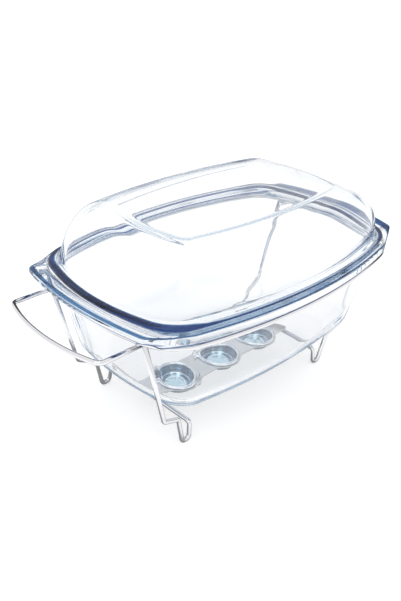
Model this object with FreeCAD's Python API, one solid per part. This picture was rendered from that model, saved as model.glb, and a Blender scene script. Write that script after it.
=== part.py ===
import FreeCAD, Part
import math
import os

# A glass roaster with a glass lid, standing in a wire frame over a strip that
# carries three small candle cups. Millimetres. X runs along the frame, Y across
# it and Z up from the table, with the centre of the frame at X = Y = 0.

Vec = FreeCAD.Vector
UP = Vec(0, 0, 1)

# Wire of the frame
WIRE_D = 4.5
WIRE_R = WIRE_D / 2
WELD = 0.3                      # how deep two crossing wires melt into each other
FOOT_FLAT = 0.25                # depth of the flat under each foot loop
SAME_PLACE = 0.01               # two lengths closer than this are equal

# Top ring
RING_HALF_LENGTH = 174.0
RING_HALF_WIDTH = 109.2
RING_END_BULGE = 17.0
RING_SIDE_BULGE = 22.0
RING_CORNER_R = 48.0
RING_Z = 137.5

# Handles, one at each short end
HANDLE_HALF_WIDTH = 58.8
HANDLE_CORNER_X = 205.0
HANDLE_MIDDLE_X = 215.5
HANDLE_CORNER_R = 7.0
HANDLE_Z = RING_Z - WIRE_D + WELD
HANDLE_TAIL = 6.5               # how far an arm runs in past the ring axis

# End frames: leg, step, foot loop and crossbar bent from one wire
LEG_TOP_Y = HANDLE_HALF_WIDTH + WIRE_D - WELD
LEG_TOP_INSET = 1.6             # leg axis inside the ring axis at the weld
LEG_TOP_DROP = 1.2              # end of the leg below the ring axis
LEG_FOOT = (135.0, 62.1, 41.7)
STEP_END = (114.6, 59.6, 33.0)
FOOT_OUTER_X = 106.2
FOOT_INNER_X = 97.6
FOOT_Y = 58.8
FOOT_Z = WIRE_R - FOOT_FLAT
CROSSBAR_X = 96.5
CROSSBAR_END_Y = 57.2
CROSSBAR_Z = 19.4
LEG_BEND_R = 5.5
STEP_BEND_R = 5.0
FOOT_BEND_R = 4.1
CROSSBAR_BEND_R = 4.5

# Glass
GLASS_T = 4.6

# Dish
DISH_REST_GAP = 0.3             # seat of the dish above the wire
RIM_BOTTOM_Z = RING_Z + WIRE_R + DISH_REST_GAP
RIM_TOP_Z = 149.7
RIM_HALF_LENGTH = 176.0
RIM_HALF_WIDTH = 110.8
RIM_EDGE_R = 1.2
BASIN_END_INSET = 11.0          # basin wall inside the rim at the short ends
BASIN_SIDE_INSET = 5.4          # and along the long sides
BASIN_CORNER_R = 34.0
BASE_Z = 51.7
BASE_HALF_LENGTH = 137.9
BASE_HALF_WIDTH = 85.5
BASE_END_BULGE = 10.0
BASE_SIDE_BULGE = 12.0
BASE_EDGE_R = 18.0
BASE_T = 6.0

# Grip ledges at the short ends of the dish
LEDGE_CORNER_X = 177.6
LEDGE_CORNER_Y = 75.0
LEDGE_MIDDLE_X = 188.5
LEDGE_ROOT_X = 138.0
LEDGE_ROOT_Y = 94.0
LEDGE_INNER_X = 120.0
LEDGE_CORNER_R = 4.0
LEDGE_RISE = 5.2                # top of the ledge edge above the rim
LEDGE_RISE_FROM_X = 158.0
LEDGE_T = 6.4
LEDGE_STEP_OUT = 4.0            # the thicker seat ends this far outside the wire
SEAT_CLEARANCE = 0.8

# Lid
LID_HALF_LENGTH = 172.5
LID_HALF_WIDTH = 105.9
LID_END_BULGE = 17.2
LID_SIDE_BULGE = 21.9
LID_CORNER_R = 40.0
LID_FLANGE_T = 4.8
LID_FLANGE_W = 8.0
LID_EDGE_R = 1.6
LID_REST_GAP = 0.2
LID_TOP_Z = 202.6
LID_TOP_HALF_LENGTH = 120.0
LID_TOP_HALF_WIDTH = 56.0
LID_TOP_END_BULGE = 9.0
LID_TOP_SIDE_BULGE = 10.0
LID_TOP_CORNER_R = 24.0
LID_END_POWER = 1.25            # roundness of the shoulder towards the ends
LID_SIDE_POWER = 3.0            # and towards the long sides
LID_PANEL_INSET = 3.0
LID_PANEL_H = 0.8
LID_PANEL_CORNER_R = 14.0
DOME_FOOT_CORNER_R = 34.0
DOME_SHARES = (0, 0.2, 0.4, 0.58, 0.74, 0.87, 0.96, 1.0)
DOME_CUT_BELOW = 0.5

# Tealight strip and its three cups
STRIP_T = 1.2
STRIP_REST_GAP = 0.05
STRIP_Z = CROSSBAR_Z + WIRE_R + STRIP_REST_GAP
STRIP_NECK_HALF_WIDTH = 17.0
STRIP_DISC_R = 24.0
STRIP_TONGUE_HALF_LENGTH = 101.0
STRIP_TONGUE_HALF_WIDTH = 14.0
STRIP_NOTCH_R = 8.0
STRIP_CORNER_R = 4.0
CUP_PITCH = 59.4
CUP_HOLE_R = 20.3
CUP_REST_GAP = 0.05
CUP_MOUTH_R = 19.1
CUP_FLOOR_R = 17.3
CUP_FLOOR_BEND_R = 2.0
CUP_WALL = 0.7
CUP_DEPTH = 11.0
CUP_LIP_R = 22.8
CUP_LIP_H = 2.4


def bow_radius(half_chord, rise):
    """Radius of an arc that rises by a given amount over its chord."""
    return (half_chord ** 2 + rise ** 2) / (2 * rise)


def corner_of(half_length, half_width, end_bulge, side_bulge, corner_r):
    """Centre and two touch points of one corner of a rounded rectangle with bowed sides."""
    side_r = bow_radius(half_length - end_bulge, side_bulge)
    end_r = bow_radius(half_width - side_bulge, end_bulge)
    side_c = Vec(0, half_width - side_r, 0)
    end_c = Vec(half_length - end_r, 0, 0)
    gap = end_c - side_c
    reach_side = side_r - corner_r
    reach_end = end_r - corner_r
    along = (reach_side ** 2 - reach_end ** 2 + gap.Length ** 2) / (2 * gap.Length)
    across = math.sqrt(reach_side ** 2 - along ** 2)
    unit = gap * (1 / gap.Length)
    centre = side_c + unit * along + Vec(unit.y, -unit.x, 0) * across
    end_touch = end_c + (centre - end_c) * (end_r / reach_end)
    side_touch = side_c + (centre - side_c) * (side_r / reach_side)
    return centre, end_touch, side_touch


def outline(half_length, half_width, end_bulge, side_bulge, corner_r, z):
    """Closed wire of eight arcs at height z."""
    centre, end_touch, side_touch = corner_of(
        half_length, half_width, end_bulge, side_bulge, corner_r)
    outward = ((end_touch + side_touch) * 0.5 - centre).normalize()
    middle = centre + outward * corner_r

    def at(point, sx, sy):
        return Vec(point.x * sx, point.y * sy, z)

    edges = []
    for sx, sy in ((1, 1), (-1, 1), (-1, -1), (1, -1)):
        corner = [at(end_touch, sx, sy), at(middle, sx, sy), at(side_touch, sx, sy)]
        if sx == sy:
            start, through, stop = corner
            crown = Vec(0, half_width * sy, z)
            far = at(side_touch, -sx, sy)
        else:
            stop, through, start = corner
            crown = Vec(half_length * sx, 0, z)
            far = at(end_touch, sx, -sy)
        edges.append(Part.Arc(start, through, stop).toShape())
        edges.append(Part.Arc(stop, crown, far).toShape())
    return Part.Wire(edges)


def is_upright(edge):
    box = edge.BoundBox
    return box.XLength < SAME_PLACE and box.YLength < SAME_PLACE


def slab(wire, height, edge_r=0):
    """Upright prism on a flat wire, with its top and bottom edges rounded by edge_r."""
    block = Part.Face(wire).extrude(UP * height)
    if not edge_r:
        return block
    return block.makeFillet(edge_r, [e for e in block.Edges if e.BoundBox.ZLength < height / 2])


def bent_wire(points, radii):
    """Round wire along straight runs with a bend of the given radius at each corner."""
    edges = []
    start = points[0]
    for before, corner, after, radius in zip(points, points[1:], points[2:], radii):
        back = (before - corner).normalize()
        ahead = (after - corner).normalize()
        half_angle = back.getAngle(ahead) / 2
        run = radius / math.tan(half_angle)
        first = corner + back * run
        last = corner + ahead * run
        inward = (back + ahead).normalize()
        belly = corner + inward * (radius / math.sin(half_angle) - radius)
        edges.append(Part.makeLine(start, first))
        edges.append(Part.Arc(first, belly, last).toShape())
        start = last
    edges.append(Part.makeLine(start, points[-1]))
    return swept(edges, points[1] - points[0])


def swept(edges, direction):
    """Wire of the frame along a chain of tangent edges."""
    path = Part.Wire(edges)
    start = edges[0].valueAt(edges[0].FirstParameter)
    section = Part.Wire([Part.makeCircle(WIRE_R, start, direction)])
    return path.makePipeShell([section], True, True)


def ring_x(y):
    """X of the ring axis at a given Y near its corner."""
    centre, end_touch, side_touch = corner_of(
        RING_HALF_LENGTH, RING_HALF_WIDTH, RING_END_BULGE, RING_SIDE_BULGE, RING_CORNER_R)
    if y < end_touch.y:
        end_r = bow_radius(RING_HALF_WIDTH - RING_SIDE_BULGE, RING_END_BULGE)
        return RING_HALF_LENGTH - end_r + math.sqrt(end_r ** 2 - y ** 2)
    return centre.x + math.sqrt(RING_CORNER_R ** 2 - (y - centre.y) ** 2)


def support_ring():
    path = outline(RING_HALF_LENGTH, RING_HALF_WIDTH, RING_END_BULGE, RING_SIDE_BULGE,
                   RING_CORNER_R, RING_Z)
    first = path.Edges[0]
    return swept(path.Edges, first.tangentAt(first.FirstParameter))


def handle(side):
    bow_r = bow_radius(HANDLE_HALF_WIDTH, HANDLE_MIDDLE_X - HANDLE_CORNER_X)
    bow_x = HANDLE_MIDDLE_X - bow_r
    turn_y = HANDLE_HALF_WIDTH - HANDLE_CORNER_R
    turn_x = bow_x + math.sqrt((bow_r - HANDLE_CORNER_R) ** 2 - turn_y ** 2)
    centre = Vec(turn_x, turn_y, 0)
    bow_centre = Vec(bow_x, 0, 0)
    touch = bow_centre + (centre - bow_centre) * (bow_r / (bow_r - HANDLE_CORNER_R))
    arm_end = Vec(turn_x, HANDLE_HALF_WIDTH, 0)
    belly = centre + ((arm_end + touch) * 0.5 - centre).normalize() * HANDLE_CORNER_R
    tail_x = ring_x(HANDLE_HALF_WIDTH) - HANDLE_TAIL

    def at(point, sy):
        return Vec(point.x * side, point.y * sy, HANDLE_Z)

    tail = Vec(tail_x, HANDLE_HALF_WIDTH, 0)
    edges = [
        Part.makeLine(at(tail, 1), at(arm_end, 1)),
        Part.Arc(at(arm_end, 1), at(belly, 1), at(touch, 1)).toShape(),
        Part.Arc(at(touch, 1), at(Vec(HANDLE_MIDDLE_X, 0, 0), 1), at(touch, -1)).toShape(),
        Part.Arc(at(touch, -1), at(belly, -1), at(arm_end, -1)).toShape(),
        Part.makeLine(at(arm_end, -1), at(tail, -1)),
    ]
    return swept(edges, Vec(side, 0, 0))


def end_frame(side):
    leg_top = (ring_x(LEG_TOP_Y) - LEG_TOP_INSET, LEG_TOP_Y, RING_Z - LEG_TOP_DROP)
    half = [
        leg_top,
        LEG_FOOT,
        STEP_END,
        (FOOT_OUTER_X, FOOT_Y, FOOT_Z),
        (FOOT_INNER_X, FOOT_Y, FOOT_Z),
        (CROSSBAR_X, CROSSBAR_END_Y, CROSSBAR_Z),
    ]
    bends = [LEG_BEND_R, STEP_BEND_R, FOOT_BEND_R, FOOT_BEND_R, CROSSBAR_BEND_R]
    points = [Vec(x * side, -y, z) for x, y, z in half]
    points += [Vec(x * side, y, z) for x, y, z in reversed(half)]
    wire = bent_wire(points, bends + bends[::-1])
    below_table = Part.makeBox(4 * LEG_FOOT[0], 4 * FOOT_Y, WIRE_D,
                               Vec(-2 * LEG_FOOT[0], -2 * FOOT_Y, -WIRE_D))
    return wire.cut(below_table)


def basin(inset, floor_z, top_z, edge_r):
    """Tapering tub with a rounded bottom edge, drawn in from the outside by inset."""
    height = RIM_BOTTOM_Z - BASE_Z
    top_length = RIM_HALF_LENGTH - BASIN_END_INSET
    top_width = RIM_HALF_WIDTH - BASIN_SIDE_INSET

    def section(z):
        share = (z - BASE_Z) / height
        return outline(
            BASE_HALF_LENGTH + (top_length - BASE_HALF_LENGTH) * share - inset,
            BASE_HALF_WIDTH + (top_width - BASE_HALF_WIDTH) * share - inset,
            BASE_END_BULGE + (RING_END_BULGE - BASE_END_BULGE) * share,
            BASE_SIDE_BULGE + (RING_SIDE_BULGE - BASE_SIDE_BULGE) * share,
            BASIN_CORNER_R - inset, z)

    tub = Part.makeLoft([section(floor_z), section(top_z)], True, True)
    floor_edges = [e for e in tub.Edges if e.BoundBox.ZMax < floor_z + SAME_PLACE]
    return tub.makeFillet(edge_r, floor_edges)


def ledge_wedge(top_at_rim, bottom):
    """Block across the dish end whose top climbs outwards from the rim."""
    profile = [
        Vec(LEDGE_INNER_X, -RIM_HALF_WIDTH, bottom),
        Vec(LEDGE_MIDDLE_X, -RIM_HALF_WIDTH, bottom),
        Vec(LEDGE_MIDDLE_X, -RIM_HALF_WIDTH, top_at_rim + LEDGE_RISE),
        Vec(LEDGE_RISE_FROM_X, -RIM_HALF_WIDTH, top_at_rim),
        Vec(LEDGE_INNER_X, -RIM_HALF_WIDTH, top_at_rim),
    ]
    face = Part.Face(Part.makePolygon(profile + profile[:1]))
    return face.extrude(Vec(0, 2 * RIM_HALF_WIDTH, 0))


def ledge(side):
    """Grip ledge beyond the rim at one short end, its top rising outwards."""
    corners = [
        Vec(LEDGE_INNER_X, -LEDGE_ROOT_Y, RIM_BOTTOM_Z),
        Vec(LEDGE_ROOT_X, -LEDGE_ROOT_Y, RIM_BOTTOM_Z),
        Vec(LEDGE_CORNER_X, -LEDGE_CORNER_Y, RIM_BOTTOM_Z),
    ]
    mirrored = [Vec(p.x, -p.y, p.z) for p in reversed(corners)]
    tip = Vec(LEDGE_MIDDLE_X, 0, RIM_BOTTOM_Z)
    edges = [Part.makeLine(a, b) for a, b in zip(corners, corners[1:])]
    edges += [Part.Arc(corners[2], tip, mirrored[0]).toShape()]
    edges += [Part.makeLine(a, b) for a, b in zip(mirrored, mirrored[1:] + corners[:1])]
    block = slab(Part.Wire(edges), RIM_TOP_Z + LEDGE_RISE - RIM_BOTTOM_Z)
    sharp = [e for e in block.Edges
             if is_upright(e) and abs(e.BoundBox.XMin - LEDGE_CORNER_X) < SAME_PLACE]
    block = block.makeFillet(LEDGE_CORNER_R, sharp)
    block = block.common(ledge_wedge(RIM_TOP_Z, RIM_BOTTOM_Z))
    seat = slab(outline(RING_HALF_LENGTH + LEDGE_STEP_OUT, RING_HALF_WIDTH + LEDGE_STEP_OUT,
                        RING_END_BULGE, RING_SIDE_BULGE, RING_CORNER_R, RIM_BOTTOM_Z - 1),
                RIM_TOP_Z - RIM_BOTTOM_Z + LEDGE_RISE)
    block = block.cut(ledge_wedge(RIM_TOP_Z - LEDGE_T, RIM_BOTTOM_Z - 1).cut(seat))
    return block if side > 0 else block.mirror(Vec(0, 0, 0), Vec(1, 0, 0))


def glass_dish():
    rim = slab(outline(RIM_HALF_LENGTH, RIM_HALF_WIDTH, RING_END_BULGE, RING_SIDE_BULGE,
                       RING_CORNER_R, RIM_BOTTOM_Z), RIM_TOP_Z - RIM_BOTTOM_Z, RIM_EDGE_R)
    body = rim.fuse([ledge(1), ledge(-1)])
    seat = slab(outline(LID_HALF_LENGTH + SEAT_CLEARANCE, LID_HALF_WIDTH + SEAT_CLEARANCE,
                        LID_END_BULGE, LID_SIDE_BULGE, LID_CORNER_R, RIM_TOP_Z),
                LEDGE_RISE + 1)
    body = body.cut(seat)
    body = body.fuse(basin(0, BASE_Z, RIM_TOP_Z, BASE_EDGE_R))
    hollow = basin(GLASS_T, BASE_Z + BASE_T, RIM_TOP_Z + 1, BASE_EDGE_R - GLASS_T)
    return body.cut(hollow).removeSplitter()


def lid_section(foot_length, foot_width, share, z):
    """Outline of the dome at a share of its height."""
    end = (1 - share ** LID_END_POWER) ** (1 / LID_END_POWER)
    side = (1 - share ** LID_SIDE_POWER) ** (1 / LID_SIDE_POWER)
    return outline(
        LID_TOP_HALF_LENGTH + (foot_length - LID_TOP_HALF_LENGTH) * end,
        LID_TOP_HALF_WIDTH + (foot_width - LID_TOP_HALF_WIDTH) * side,
        LID_END_BULGE + (LID_TOP_END_BULGE - LID_END_BULGE) * share,
        LID_SIDE_BULGE + (LID_TOP_SIDE_BULGE - LID_SIDE_BULGE) * share,
        DOME_FOOT_CORNER_R + (LID_TOP_CORNER_R - DOME_FOOT_CORNER_R) * share, z)


def dome(inset, foot_z, top_z):
    """Solid under the curved top of the lid, drawn in from the outside by inset."""
    foot_length = LID_HALF_LENGTH - LID_FLANGE_W - inset
    foot_width = LID_HALF_WIDTH - LID_FLANGE_W - inset
    return Part.makeLoft([lid_section(foot_length, foot_width, share,
                                      foot_z + (top_z - foot_z) * share)
                          for share in DOME_SHARES], True, False)


def glass_lid():
    flange_z = RIM_TOP_Z + LID_REST_GAP
    flange = slab(outline(LID_HALF_LENGTH, LID_HALF_WIDTH, LID_END_BULGE, LID_SIDE_BULGE,
                          LID_CORNER_R, flange_z), LID_FLANGE_T, LID_EDGE_R)
    panel = slab(outline(LID_TOP_HALF_LENGTH - LID_PANEL_INSET,
                         LID_TOP_HALF_WIDTH - LID_PANEL_INSET, LID_TOP_END_BULGE,
                         LID_TOP_SIDE_BULGE, LID_PANEL_CORNER_R, LID_TOP_Z - LID_PANEL_H),
                 2 * LID_PANEL_H)
    shell = flange.fuse([dome(0, flange_z + LID_FLANGE_T / 2, LID_TOP_Z), panel])
    hollow = dome(GLASS_T, flange_z - DOME_CUT_BELOW, LID_TOP_Z - GLASS_T)
    return shell.cut(hollow).removeSplitter()


def tealight_strip():
    """Flat strip over both crossbars, with a widened disc round each cup hole."""
    neck = Part.makeBox(2 * CUP_PITCH, 2 * STRIP_NECK_HALF_WIDTH, STRIP_T,
                        Vec(-CUP_PITCH, -STRIP_NECK_HALF_WIDTH, STRIP_Z))
    tongue = Part.makeBox(2 * STRIP_TONGUE_HALF_LENGTH, 2 * STRIP_TONGUE_HALF_WIDTH, STRIP_T,
                          Vec(-STRIP_TONGUE_HALF_LENGTH, -STRIP_TONGUE_HALF_WIDTH, STRIP_Z))
    tongue = tongue.makeFillet(STRIP_CORNER_R, [e for e in tongue.Edges if is_upright(e)])
    discs = [Part.makeCylinder(STRIP_DISC_R, STRIP_T, Vec(x, 0, STRIP_Z)) for x in cup_places()]
    plate = neck.fuse([tongue] + discs).removeSplitter()
    last_disc_x = CUP_PITCH + STRIP_DISC_R
    notches = [e for e in plate.Edges if is_upright(e) and abs(e.BoundBox.XMin) < last_disc_x]
    plate = plate.makeFillet(STRIP_NOTCH_R, notches)
    for x in cup_places():
        plate = plate.cut(Part.makeCylinder(CUP_HOLE_R, 2 * STRIP_T,
                                            Vec(x, 0, STRIP_Z - STRIP_T / 2)))
    return plate


def cup_places():
    return [-CUP_PITCH, 0.0, CUP_PITCH]


def tealight_cup(x):
    """Spun cup whose rolled lip rests on the strip."""
    seat = STRIP_Z + STRIP_T + CUP_REST_GAP
    top = seat + CUP_LIP_H
    floor = top - CUP_DEPTH
    lip_mid_r = (CUP_MOUTH_R + CUP_LIP_R) / 2
    lip_side_z = top - (CUP_LIP_R - CUP_MOUTH_R) / 2
    bend_x = CUP_FLOOR_R - CUP_FLOOR_BEND_R
    bend_z = floor + CUP_FLOOR_BEND_R

    def at(radius, z):
        return Vec(radius, 0, z)

    def bend(radius):
        slant = radius * math.sqrt(0.5)
        return [at(bend_x, bend_z - radius), at(bend_x + slant, bend_z - slant),
                at(bend_x + radius, bend_z)]

    inner = bend(CUP_FLOOR_BEND_R)
    outer = bend(CUP_FLOOR_BEND_R + CUP_WALL)
    lip_inside = at(CUP_MOUTH_R, lip_side_z)
    lip_outside = at(CUP_LIP_R, lip_side_z)
    corners = [lip_outside, at(CUP_LIP_R, seat), at(CUP_MOUTH_R + CUP_WALL, seat), outer[2]]
    edges = [
        Part.makeLine(at(0, floor), inner[0]),
        Part.Arc(*inner).toShape(),
        Part.makeLine(inner[2], lip_inside),
        Part.Arc(lip_inside, at(lip_mid_r, top), lip_outside).toShape(),
    ]
    edges += [Part.makeLine(a, b) for a, b in zip(corners, corners[1:])]
    edges += [
        Part.Arc(*reversed(outer)).toShape(),
        Part.makeLine(outer[0], at(0, floor - CUP_WALL)),
        Part.makeLine(at(0, floor - CUP_WALL), at(0, floor)),
    ]
    cup = Part.Face(Part.Wire(edges)).revolve(Vec(0, 0, 0), UP, 360)
    cup.translate(Vec(x, 0, 0))
    return cup


def build():
    left, middle, right = cup_places()
    return {
        "support_ring": support_ring(),
        "handle_left": handle(-1),
        "handle_right": handle(1),
        "end_frame_left": end_frame(-1),
        "end_frame_right": end_frame(1),
        "glass_dish": glass_dish(),
        "glass_lid": glass_lid(),
        "tealight_strip": tealight_strip(),
        "tealight_cup_left": tealight_cup(left),
        "tealight_cup_middle": tealight_cup(middle),
        "tealight_cup_right": tealight_cup(right),
    }


os.makedirs("parts", exist_ok=True)
for name, shape in build().items():
    shape.exportStep("parts/" + name + ".step")
    box = shape.optimalBoundingBox(False)
    print(name, "valid", shape.isValid(), "solids", len(shape.Solids),
          "volume", round(shape.Volume), "size", round(box.XLength, 1),
          round(box.YLength, 1), round(box.ZLength, 1), "from z", round(box.ZMin, 2))
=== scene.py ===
# %% [markdown]
# # A glass roaster on a wire food warmer
# The object is a clear glass dish with a clear glass lid. It stands in a chromed
# wire frame, over a thin steel strip that holds three small candle cups.
# The sizes come from a imported CAD model. Blender adds what CAD leaves plain:
# soft glass edges, spun metal, weld beads, and the finishes of glass and chrome.
# This first cell loads that model, and gives a helper that reads a node's box.

# %% Load the frame
import math

import bmesh
import bpy
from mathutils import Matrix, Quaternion, Vector


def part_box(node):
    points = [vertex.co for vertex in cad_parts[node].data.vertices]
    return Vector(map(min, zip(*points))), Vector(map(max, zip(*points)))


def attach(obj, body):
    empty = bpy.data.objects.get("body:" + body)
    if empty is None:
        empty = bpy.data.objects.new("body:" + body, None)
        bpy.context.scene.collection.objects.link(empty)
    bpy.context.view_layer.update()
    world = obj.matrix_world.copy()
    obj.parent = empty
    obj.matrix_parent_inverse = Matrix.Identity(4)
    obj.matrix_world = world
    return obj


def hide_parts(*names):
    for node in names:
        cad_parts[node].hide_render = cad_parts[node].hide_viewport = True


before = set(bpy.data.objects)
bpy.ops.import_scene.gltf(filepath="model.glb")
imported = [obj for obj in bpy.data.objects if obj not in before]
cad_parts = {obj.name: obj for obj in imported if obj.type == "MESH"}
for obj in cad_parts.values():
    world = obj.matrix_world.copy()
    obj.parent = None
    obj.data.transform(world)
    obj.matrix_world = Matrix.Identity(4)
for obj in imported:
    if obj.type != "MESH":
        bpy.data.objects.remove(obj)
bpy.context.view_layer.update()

print("nodes", sorted(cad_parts))

# %% [markdown]
# ## Working by loops
# Every glass and spun piece here is a stack of closed loops, one above or inside
# the other. On a real press or lathe the mould is drawn the same way, as a section
# that goes round. So the first helpers start a piece from a circle, extrude its
# edge to the next loop, and close the two ends.
#
# Extruding copies what a vertex carries. Each vertex of the first circle gets a
# number, its place in the loop, and all its copies keep it. That makes it easy to
# set a new loop down on its points. A second value gives the painted shade of the
# glass there, from 0 on a thin wall to 1 on a thick edge. The glass finish reads it
# and paints blue and navy in place of the light lost on the long way through.

# %% Helpers that draw a shell loop by loop
PLACE = "place"
SHADE_WEIGHT = "shade_weight"


def start_shell(name, points, capped=True):
    """New piece that begins as a flat cap inside the first loop of points."""
    bpy.ops.object.select_all(action="DESELECT")
    bpy.ops.mesh.primitive_circle_add(vertices=len(points), radius=0.1, fill_type="NOTHING")
    piece = bpy.context.object
    piece.name = name
    piece.data.name = name
    bpy.ops.object.mode_set(mode="EDIT")
    bpy.ops.mesh.select_all(action="SELECT")
    mesh = bmesh.from_edit_mesh(piece.data)
    place = mesh.verts.layers.int.new(PLACE)
    # This layer holds the weight of the painted blue and navy shade on thick glass.
    mesh.verts.layers.float.new(SHADE_WEIGHT)
    for number, vert in enumerate(mesh.verts):
        vert[place] = number
        vert.co = points[number]
    bmesh.update_edit_mesh(piece.data)
    if capped:
        bpy.ops.mesh.fill_grid(span=len(points) // 4)
        bpy.ops.mesh.region_to_loop()
    return piece


def draw_on(points, shade_weight=0.0):
    """Extrude the selected loop and set the copy down on the points."""
    bpy.ops.mesh.extrude_edges_move()
    data = bpy.context.edit_object.data
    mesh = bmesh.from_edit_mesh(data)
    place = mesh.verts.layers.int[PLACE]
    weight = mesh.verts.layers.float[SHADE_WEIGHT]
    for vert in mesh.verts:
        if vert.select:
            vert.co = points[vert[place]]
            vert[weight] = shade_weight
    bmesh.update_edit_mesh(data)


def close_shell(piece, loop_length, levels, capped=True):
    """Cap the last loop, point all faces outwards and smooth the shell."""
    if capped:
        bpy.ops.mesh.fill_grid(span=loop_length // 4)
    else:
        bpy.ops.mesh.select_all(action="DESELECT")
        bpy.ops.mesh.select_non_manifold()
        bpy.ops.mesh.bridge_edge_loops()
    bpy.ops.mesh.select_all(action="SELECT")
    bpy.ops.mesh.normals_make_consistent(inside=False)
    bpy.ops.object.mode_set(mode="OBJECT")
    piece.data.attributes.remove(piece.data.attributes[PLACE])
    if levels:
        smooth = piece.modifiers.new("Smooth", "SUBSURF")
        smooth.levels = levels
        smooth.render_levels = levels
        bpy.ops.object.modifier_apply(modifier=smooth.name)
    bpy.ops.object.shade_smooth()


def shell(name, loops, levels=1, shade_weight=None, capped=True):
    """Closed piece through a list of loops that all have the same number of points."""
    piece = start_shell(name, loops[0], capped)
    for number, points in enumerate(loops[1:], start=1):
        draw_on(points, shade_weight.get(number, 0.0) if shade_weight else 0.0)
    close_shell(piece, len(loops[0]), levels, capped)
    size = ", ".join("%.1f" % (1000 * v) for v in piece.dimensions)
    print(name, len(loops), "loops,", len(piece.data.polygons), "faces,", size, "mm")
    return piece


# %% [markdown]
# ## The plan outline
# Seen from above, the dish, the lid and the wire ring share one kind of outline: a
# rectangle with round corners whose four sides bow outwards. Eight arcs draw it
# exactly. The function below works out where a corner arc touches the two bowed
# sides, and puts points along one quarter. The other three quarters are mirrored.
# A flat face is closed by two smaller loops inside its outline and then a grid.

# %% Outline with bowed sides
END_STEPS = 10
CORNER_STEPS = 18
SIDE_STEPS = 14
CAP_SHARES = (0.95, 0.86)


def bow_radius(half_chord, rise):
    """Radius of an arc that rises by a given amount over its chord."""
    return (half_chord ** 2 + rise ** 2) / (2 * rise)


def arc(centre, radius, start, stop, steps):
    """Points of an arc from one angle to the other, without its last point."""
    turns = [start + (stop - start) * step / steps for step in range(steps)]
    return [centre + radius * Vector((math.cos(turn), math.sin(turn))) for turn in turns]


def outline(half_length, half_width, end_bulge, side_bulge, corner_r):
    """Flat points round the outline, from the middle of the right end anticlockwise."""
    side_r = bow_radius(half_length - end_bulge, side_bulge)
    end_r = bow_radius(half_width - side_bulge, end_bulge)
    side_centre = Vector((0, half_width - side_r))
    end_centre = Vector((half_length - end_r, 0))
    gap = end_centre - side_centre
    reach_side = side_r - corner_r
    reach_end = end_r - corner_r
    along = (reach_side ** 2 - reach_end ** 2 + gap.length_squared) / (2 * gap.length)
    across = math.sqrt(reach_side ** 2 - along ** 2)
    unit = gap.normalized()
    centre = side_centre + unit * along + Vector((unit.y, -unit.x)) * across
    end_turn = math.atan2(*(centre - end_centre).yx)
    side_turn = math.atan2(*(centre - side_centre).yx)
    quarter = arc(end_centre, end_r, 0, end_turn, END_STEPS)
    quarter += arc(centre, corner_r, end_turn, side_turn, CORNER_STEPS)
    quarter += arc(side_centre, side_r, side_turn, math.pi / 2, SIDE_STEPS)
    crown = [Vector((0, half_width))]
    left = [Vector((-p.x, p.y)) for p in reversed(quarter)]
    below = [Vector((p.x, -p.y)) for p in reversed(quarter[1:] + crown + left[:-1])]
    return quarter + crown + left + below


def level(flat, z):
    """Flat points raised to one height."""
    return [Vector((p.x, p.y, z)) for p in flat]


def cap(flat, z):
    """Two smaller loops inside an outline, the larger one first, to start a cap."""
    return [[Vector((p.x * share, p.y * share, z)) for p in flat] for share in CAP_SHARES]


print(4 * (END_STEPS + CORNER_STEPS + SIDE_STEPS), "points in a loop")

# %% [markdown]
# ## Sizes
# The overall sizes are read from the CAD nodes, so that the glass stays the size of
# the solids. What a box can't tell, such as the rise of a bowed side or the wall of
# the glass, is written here once, in metres. A rounded edge takes three loops, and
# ROUND is how far the middle one stays inside the sharp corner, in radii.

# %% Sizes from the frame, and the ones a box can't tell
DISH_LOW, DISH_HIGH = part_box("glass_dish")
LID_LOW, LID_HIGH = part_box("glass_lid")
RING_LOW, RING_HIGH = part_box("support_ring")
CUP_LOW, CUP_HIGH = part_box("tealight_cup_middle")

WIRE_R = (RING_HIGH.z - RING_LOW.z) / 2
GLASS_T = 0.0046
ROUND = 0.3

RING_END_BULGE = 0.017
RING_SIDE_BULGE = 0.022
RING_CORNER_R = 0.048

RIM_BOTTOM_Z = RING_HIGH.z + 0.0003
RIM_TOP_Z = LID_LOW.z - 0.0002
RIM_HALF_WIDTH = DISH_HIGH.y
RIM_HALF_LENGTH = 0.176

LID_END_BULGE = 0.0172
LID_SIDE_BULGE = 0.0219
LID_CORNER_R = 0.040

print("wire %.4f, rim %.4f to %.4f" % (2 * WIRE_R, RIM_BOTTOM_Z, RIM_TOP_Z))

# %% [markdown]
# ## The lid
# The lid is pressed glass: a flat flange all round, a dome that climbs gently from
# the short ends and steeply from the long sides, and a slightly raised flat top.
# Two power curves give the two slopes. They are followed by loops from the middle
# of the inner face, down inside, round the flange, up outside and to the middle of
# the top, so that one shell has both faces and a true wall between them.
#
# The table below gives the painted shade of the flange's loops: the glass finish
# paints them blue to navy, in place of the light lost on the long way through the
# thick glass. It pairs the number of a loop, counted from the mouth of the dome,
# with a weight.

# %% Lid sizes
FLANGE_T = 0.0048
FLANGE_W = 0.008
FLANGE_EDGE_R = 0.0016
FLANGE_SHADE = ((4, 0.6), (5, 1.0), (6, 1.0), (7, 0.5), (8, 0.4), (9, 0.3))
DOME_TOP_Z = 0.2026
DOME_FOOT_CORNER_R = 0.034
TOP_HALF_LENGTH = 0.120
TOP_HALF_WIDTH = 0.056
TOP_END_BULGE = 0.009
TOP_SIDE_BULGE = 0.010
TOP_CORNER_R = 0.016
END_POWER = 1.25
SIDE_POWER = 3.0
SHOULDER = 0.10
SHOULDER_FROM = 0.86
PANEL_HALF_LENGTH = 0.1125
PANEL_HALF_WIDTH = 0.0525
PANEL_CORNER_R = 0.008
PANEL_SLOPE_W = 0.003
PANEL_SOFT = 0.001
FOOT_FILLET = 0.0018
MOUTH_SHARE = 0.01
MOUTH_SOFT = 0.0004
MOUTH_FILLET = 0.001
INNER_FOOT_DROP = 0.0005
DOME_LOOPS = 18

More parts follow.
